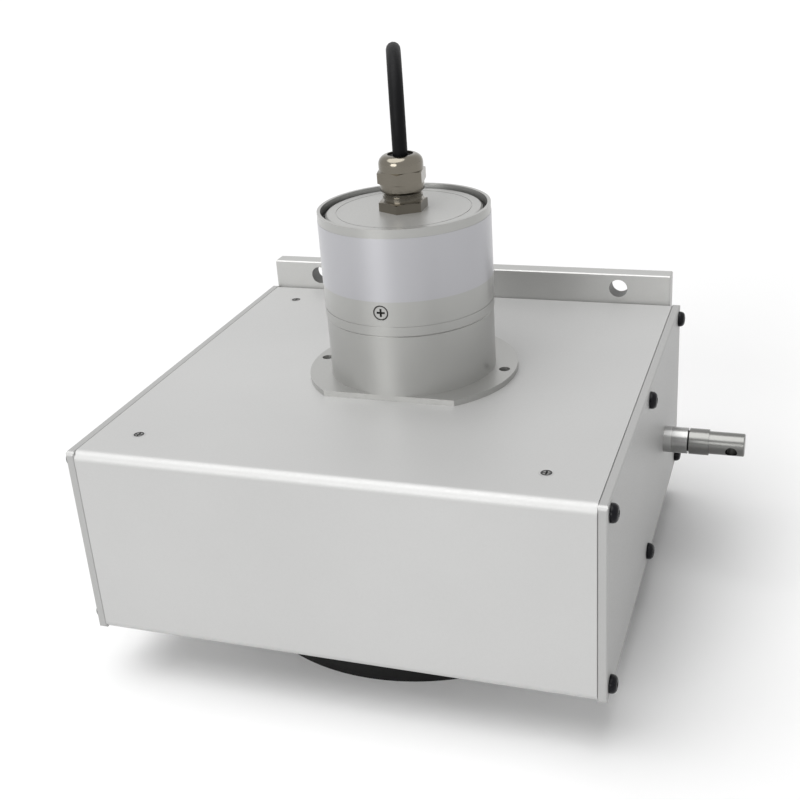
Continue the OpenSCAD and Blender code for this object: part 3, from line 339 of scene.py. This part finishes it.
LOOKS = {
    "housing_aluminium": satin("housing_aluminium", ALUMINIUM, metal=0.4, rough=0.52),
    # The end plates are a darker finish than the housing, made darker still as painted shade for the shaded
    # right end plate.
    "end_plate_aluminium": satin("end_plate_aluminium", (0.42, 0.42, 0.415), metal=0.55),
    "mounting_plate_aluminium": satin(
        "mounting_plate_aluminium", (0.46, 0.46, 0.45), metal=0.7, rough=0.46, holes=PLATE_HOLES
    ),
    "sensor_aluminium": lathed("sensor_aluminium", (0.40, 0.40, 0.388), rough=0.32),
    "machined_aluminium": turned("machined_aluminium", (0.60, 0.60, 0.60)),
    "black_screws": plain_metal(
        "black_screws", (0.003, 0.003, 0.005), rough=0.24, metal=0.0, gloss=0.16, depth=0.008
    ),
    "dark_screws": column_screw_look(),
    "zinc_screws": plain_metal("zinc_screws", (0.40, 0.40, 0.39)),
    "polished_steel": smooth_steel("polished_steel", (0.19, 0.19, 0.183), 0.25, depth=0.004),
    "nickel_brass": plain_metal("nickel_brass", (0.185, 0.170, 0.142), rough=0.15, wear=0.06),
    "bare_brass": plain_metal("bare_brass", (0.70, 0.50, 0.22)),
    "bronze": turned("bronze", (0.58, 0.38, 0.18), metal=1, rough=0.32),
    "steel": turned("steel", (0.58, 0.58, 0.59), metal=1, rough=0.25),
    "spring_steel": plain_metal("spring_steel", (0.16, 0.18, 0.22)),
    "wire_rope": plain_metal("wire_rope", (0.40, 0.40, 0.41), rough=0.35),
    "ceramic": moulded("ceramic", (0.80, 0.77, 0.70), rough=0.12, depth=0.01, gloss=0.6),
    "black_cup": moulded("black_cup", (0.006, 0.006, 0.006), gloss=0.25),
    "black_rubber": moulded("black_rubber", (0.008, 0.008, 0.008), rough=0.6, gloss=0.25),
    "cable_jacket": moulded("cable_jacket", (0.003, 0.003, 0.0035), grain=1500, depth=0.12, gloss=0.12),
    "board_green": moulded("board_green", (0.02, 0.14, 0.05), rough=0.3, depth=0.02),
    "terminal_green": moulded("terminal_green", (0.03, 0.25, 0.07), rough=0.35, depth=0.02),
    "magnet": plain_metal("magnet", (0.10, 0.10, 0.11), rough=0.5),
}
# Nodes that look different from the rest of their slot.
OWN_LOOKS = {
    "end_cap": satin("cap_face", (0.43, 0.43, 0.42), rough=0.36, grain=2200),
    "outlet_nozzle": smooth_steel("nozzle_steel", (0.32, 0.32, 0.315), 0.25),
    "outlet_lock_ring": smooth_steel("lock_ring_steel", (0.40, 0.40, 0.395), 0.32),
    "tube_screws": tube_screw_look(),
    "encoder_base_screws": plain_metal("flange_screw_steel", (0.12, 0.12, 0.12), rough=0.4),
}


def dress_nodes():
    """Gives each CAD node its material."""
    for part in frame["record"]["subparts"]:
        slots = nodes[part["node"]].data.materials
        slots.clear()
        slots.append(OWN_LOOKS.get(part["node"], LOOKS[part["material_slot"]]))


# ------------------------------------------------------------------ cable

CABLE_D = 5 * MM
CABLE_HEADING = math.radians(19.5)
# The route's points as in the CAD source, in millimetres: distance behind the axis, height.
CABLE_ROUTE = [
    (0, 161.2), (0, 165), (0, 168.8), (1.7, 177.4), (6.6, 184.8), (14, 189.7), (22.6, 191.4),
    (31.2, 189.7), (38.6, 184.8), (43.5, 177.4), (48.6, 165), (54.7, 151.6), (61, 138.4),
    (68.2, 125.8), (76.4, 115.4), (85.2, 108), (94, 102), (101.4, 93.8), (106.6, 83),
    (109.8, 70.4), (111.2, 56.4), (112, 42.6), (114.6, 29.8), (120.4, 18.8), (129, 10.3),
    (139, 4.9), (149, 2.6), (158, 2.5),
]
ROUTE_STEPS = 8
COIL_R = 35 * MM
COIL_STEP = 5.03 * MM
COIL_TURNS = 9.65
COIL_POINTS = 48
# Turns at which the cable moves in (1) or out (-1) by one cable, and up by one layer.
COIL_STEPS = ((0.75, 1), (1.75, 1), (2.75, 1), (4.25, -1), (5.25, -1), (6.25, -1), (7.75, 1), (8.75, 1))
COIL_RISERS = (3.5, 7.0)
CORE_D = 1.3 * MM
CORE_OFFSET = 1.1 * MM
CORE_COLOURS = ((0.55, 0.02, 0.02), (0.02, 0.02, 0.02), (0.02, 0.30, 0.06), (0.75, 0.74, 0.70))


def tube(name, points, radius, sides):
    """A curve object of one open spline through the points."""
    data = bpy.data.curves.new(name, "CURVE")
    data.dimensions = "3D"
    data.bevel_depth = radius
    data.bevel_resolution = sides
    data.use_fill_caps = True
    spline = data.splines.new("POLY")
    spline.points.add(len(points) - 1)
    for point, at in zip(spline.points, points):
        point.co = (*at, 1)
    return link(bpy.data.objects.new(name, data))


def through(points):
    """A smooth line through the points (centripetal Catmull-Rom)."""
    ends = [points[0] * 2 - points[1], *points, points[-1] * 2 - points[-2]]
    line = []
    for a, b, c, d in zip(ends, ends[1:], ends[2:], ends[3:]):
        t = [0.0]
        for p, q in ((a, b), (b, c), (c, d)):
            t.append(t[-1] + max((q - p).length, 1e-9) ** 0.5)
        for i in range(ROUTE_STEPS):
            u = t[1] + (t[2] - t[1]) * i / ROUTE_STEPS
            ab = a * ((t[1] - u) / t[1]) + b * (u / t[1])
            bc = b * ((t[2] - u) / (t[2] - t[1])) + c * ((u - t[1]) / (t[2] - t[1]))
            cd = c * ((t[3] - u) / (t[3] - t[2])) + d * ((u - t[2]) / (t[3] - t[2]))
            abc = ab * ((t[2] - u) / t[2]) + bc * (u / t[2])
            bcd = bc * ((t[3] - u) / (t[3] - t[1])) + cd * ((u - t[1]) / (t[3] - t[1]))
            line.append(abc * ((t[2] - u) / (t[2] - t[1])) + bcd * ((u - t[1]) / (t[2] - t[1])))
    return [*line, points[-1]]


def ease(x):
    """A smooth rise from 0 to 1."""
    x = min(1.0, max(0.0, x))
    return x * x * (3 - 2 * x)


def coil_line(centre, start):
    """Three flat layers of turns: inwards, outwards and inwards again."""
    line = []
    for i in range(1, int(COIL_TURNS * COIL_POINTS) + 1):
        turn = i / COIL_POINTS
        r = COIL_R - COIL_STEP * sum(way * ease((turn - at) * 4) for at, way in COIL_STEPS)
        z = CABLE_D / 2 + CABLE_D * sum(ease((turn - at) * 4) for at in COIL_RISERS)
        angle = start - 2 * math.pi * turn
        line.append(Vector((centre.x + r * math.cos(angle), centre.y + r * math.sin(angle), z)))
    return line


def make_core(index, colour, end, heading, inward):
    """One stripped core: along the cable's end, then fanned out and down to the coil."""
    around = math.pi * (0.25 + index / 2)
    offset = (inward * math.cos(around) + Vector((0, 0, 1)) * math.sin(around)) * CORE_OFFSET
    # Millimetres ahead of the cut jacket, inwards and up.
    bend = (
        (-2, 0, 0),
        (3, 0.2, 0),
        (8, 1.4 + 0.2 * index, -0.8),
        (15, 4.2 + 0.5 * index, -1.6),
        (22, 6.5 + 1.5 * index, -1.8),
    )
    line = []
    for x, y, z in bend:
        centre = end + heading * x * MM + inward * y * MM + Vector((0, 0, z * MM))
        line.append(centre + offset * (1 - 0.02 * max(x, 0)))
    core = tube(f"cable_core_{index + 1}", through(line), CORE_D / 2, 3)
    core.data.materials.append(moulded(f"core_colour_{index + 1}", colour, rough=0.35, depth=0.02))
    return core


def make_cable():
    """The cable from the gland over the back into its coil, with its bare end."""
    away = Vector((-math.sin(CABLE_HEADING), math.cos(CABLE_HEADING), 0))
    side = Vector((math.cos(CABLE_HEADING), math.sin(CABLE_HEADING), 0))
    route = through([away * s * MM + Vector((0, 0, z * MM)) for s, z in CABLE_ROUTE])
    centre = route[-1] + side * COIL_R
    line = route + coil_line(centre, math.pi + CABLE_HEADING)
    cable = tube("cable_run", line, CABLE_D / 2, 5)
    cable.data.materials.append(LOOKS["cable_jacket"])
    end, heading = line[-1], (line[-1] - line[-2]).normalized()
    inward = (centre - end).normalized()
    inward.z = 0
    cores = [make_core(i, colour, end, heading, inward) for i, colour in enumerate(CORE_COLOURS)]
    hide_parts("cable", "cable_coil")
    for piece in (cable, *cores):
        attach(piece, "housing")


# ------------------------------------------------------------------ label and wire

# The label's band lies on the tube, sunk into it by a hundredth of a millimetre.
LABEL_INNER, LABEL_OUTER = TUBE_R - 0.01 * MM, TUBE_R + 0.09 * MM
LABEL_LOW, LABEL_HIGH = 120.5 * MM, 141.5 * MM
LABEL_CORNER = 1.6 * MM
LABEL_START, LABEL_STOP = math.radians(-256), math.radians(90)
LABEL_STEPS = 240

STRANDS = 6
STRAND_SIDES = 6
STRAND_LAY = 7 * MM
WIRE_RINGS = 220


def mesh_piece(name, verts, faces, look):
    """A smooth shaded mesh object in one material."""
    data = bpy.data.meshes.new(name)
    data.from_pydata(verts, [], faces)
    data.polygons.foreach_set("use_smooth", [True] * len(faces))
    data.materials.append(look)
    return link(bpy.data.objects.new(name, data))


def make_label():
    """A bare silver label wrapped nearly all round the tube, with rounded corners."""
    reach = (LABEL_STOP - LABEL_START) * LABEL_OUTER
    verts = []
    for i in range(LABEL_STEPS + 1):
        along = reach * i / LABEL_STEPS
        inside = LABEL_CORNER - min(along, reach - along)
        cut = LABEL_CORNER - math.sqrt(max(0.0, LABEL_CORNER**2 - max(0.0, inside) ** 2))
        angle = LABEL_START + along / LABEL_OUTER
        low, high = LABEL_LOW + cut, LABEL_HIGH - cut
        for r, z in ((LABEL_INNER, low), (LABEL_OUTER, low), (LABEL_OUTER, high), (LABEL_INNER, high)):
            verts.append((r * math.cos(angle), r * math.sin(angle), z))
    faces = []
    for first in range(0, 4 * LABEL_STEPS, 4):
        for j in range(4):
            k = (j + 1) % 4
            faces.append((first + 4 + j, first + 4 + k, first + k, first + j))
    last = 4 * LABEL_STEPS
    faces += [(0, 1, 2, 3), (last + 3, last + 2, last + 1, last)]
    look = lathed("label_film", (0.435, 0.435, 0.455), rough=0.34, grain=700, depth=0.01)
    label = mesh_piece("blank_label", verts, faces, look)
    label.data.set_sharp_from_angle(angle=math.radians(40))
    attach(label, "housing")


def make_wire():
    """The measuring wire as six strands laid round a seventh."""
    low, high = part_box("measuring_wire")
    centre = (low + high) / 2
    strand = (high.z - low.z) / 6
    verts, faces = [], []
    for k in range(STRANDS + 1):
        first = len(verts)
        away = 0 if k == STRANDS else 2 * strand
        for i in range(WIRE_RINGS + 1):
            x = low.x + (high.x - low.x) * i / WIRE_RINGS
            turn = 2 * math.pi * ((x - low.x) / STRAND_LAY + k / STRANDS)
            y = centre.y + away * math.cos(turn)
            z = centre.z + away * math.sin(turn)
            for j in range(STRAND_SIDES):
                a = 2 * math.pi * j / STRAND_SIDES
                verts.append((x, y + strand * math.cos(a), z + strand * math.sin(a)))
        for shade_ring in range(first, first + WIRE_RINGS * STRAND_SIDES, STRAND_SIDES):
            for j in range(STRAND_SIDES):
                a, b = shade_ring + j, shade_ring + (j + 1) % STRAND_SIDES
                faces.append((a, b, b + STRAND_SIDES, a + STRAND_SIDES))
        last = first + WIRE_RINGS * STRAND_SIDES
        faces.append(tuple(reversed(range(first, first + STRAND_SIDES))))
        faces.append(tuple(range(last, last + STRAND_SIDES)))
    wire = mesh_piece("measuring_rope", verts, faces, LOOKS["wire_rope"])
    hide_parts("measuring_wire")
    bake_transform(wire)


# ------------------------------------------------------------------ light and floor

WORLD_LIGHT = 0.25
WORLD_SEEN = 1.0
FLOOR_SIZE = 60
FLOOR_GLOW = 0.05


def seen_directly(tree):
    """1 for the rays of the camera, of a mirror-like reflection and through glass, 0 for the rest."""
    path = tree.nodes.new("ShaderNodeLightPath")
    most = path.outputs["Is Camera Ray"]
    for name in ("Is Glossy Ray", "Is Transmission Ray"):
        pick = tree.nodes.new("ShaderNodeMath")
        pick.operation = "MAXIMUM"
        tree.links.new(most, pick.inputs[0])
        tree.links.new(path.outputs[name], pick.inputs[1])
        most = pick.outputs[0]
    return most


def background():
    """A plain white studio that lights the object at a lower level than it shows."""
    world = bpy.data.worlds.new("studio")
    bpy.context.scene.world = world
    world.use_nodes = True
    tree = world.node_tree
    tree.nodes.clear()
    out = tree.nodes.new("ShaderNodeOutputWorld")
    mix = tree.nodes.new("ShaderNodeMixShader")
    tree.links.new(seen_directly(tree), mix.inputs[0])
    for socket, strength in zip(mix.inputs[1:], (WORLD_LIGHT, WORLD_SEEN)):
        white = tree.nodes.new("ShaderNodeBackground")
        white.inputs["Color"].default_value = (1, 1, 1, 1)
        white.inputs["Strength"].default_value = strength
        tree.links.new(white.outputs[0], socket)
    tree.links.new(mix.outputs[0], out.inputs[0])


def make_floor():
    """A white floor that keeps the shadow and glows faintly where it is seen."""
    bpy.ops.mesh.primitive_plane_add(size=FLOOR_SIZE, location=(0, 0, 0))
    floor = bpy.context.object
    floor.name = "floor"
    s = Shader("floor_white")
    s.use(s.blend(s.noise(3, 2), (0.94, 0.94, 0.94), (0.96, 0.96, 0.96)), 0.9)
    glow = s.node("ShaderNodeEmission")
    glow.inputs["Strength"].default_value = FLOOR_GLOW
    add = s.node("ShaderNodeAddShader")
    mix = s.node("ShaderNodeMixShader")
    out = s.tree.nodes["Material Output"]
    s.join(s.bsdf.outputs[0], add.inputs[0])
    s.join(glow.outputs[0], add.inputs[1])
    s.join(seen_directly(s.tree), mix.inputs[0])
    s.join(s.bsdf.outputs[0], mix.inputs[1])
    s.join(add.outputs[0], mix.inputs[2])
    s.join(mix.outputs[0], out.inputs["Surface"])
    floor.data.materials.append(s.mat)


def lamp_far(name, azimuth, height, strength, spread):
    """A soft lamp far away, seen at an azimuth from +X and a height above the floor in degrees."""
    turn, up = math.radians(azimuth), math.radians(height)
    towards = Vector((math.cos(turn) * math.cos(up), math.sin(turn) * math.cos(up), math.sin(up)))
    data = bpy.data.lights.new(name, "SUN")
    data.energy = strength
    data.angle = math.radians(spread)
    lamp = link(bpy.data.objects.new(name, data))
    lamp.location = towards * 2
    lamp.rotation_euler = towards.to_track_quat("Z", "Y").to_euler()


make_camera()
dress_nodes()
make_cable()
make_label()
make_wire()
background()
make_floor()
lamp_far("overhead", azimuth=-150, height=72, strength=2.2, spread=60)
lamp_far("softbox", azimuth=-110, height=18, strength=1.14, spread=32)
bpy.context.scene.view_settings.view_transform = "Standard"
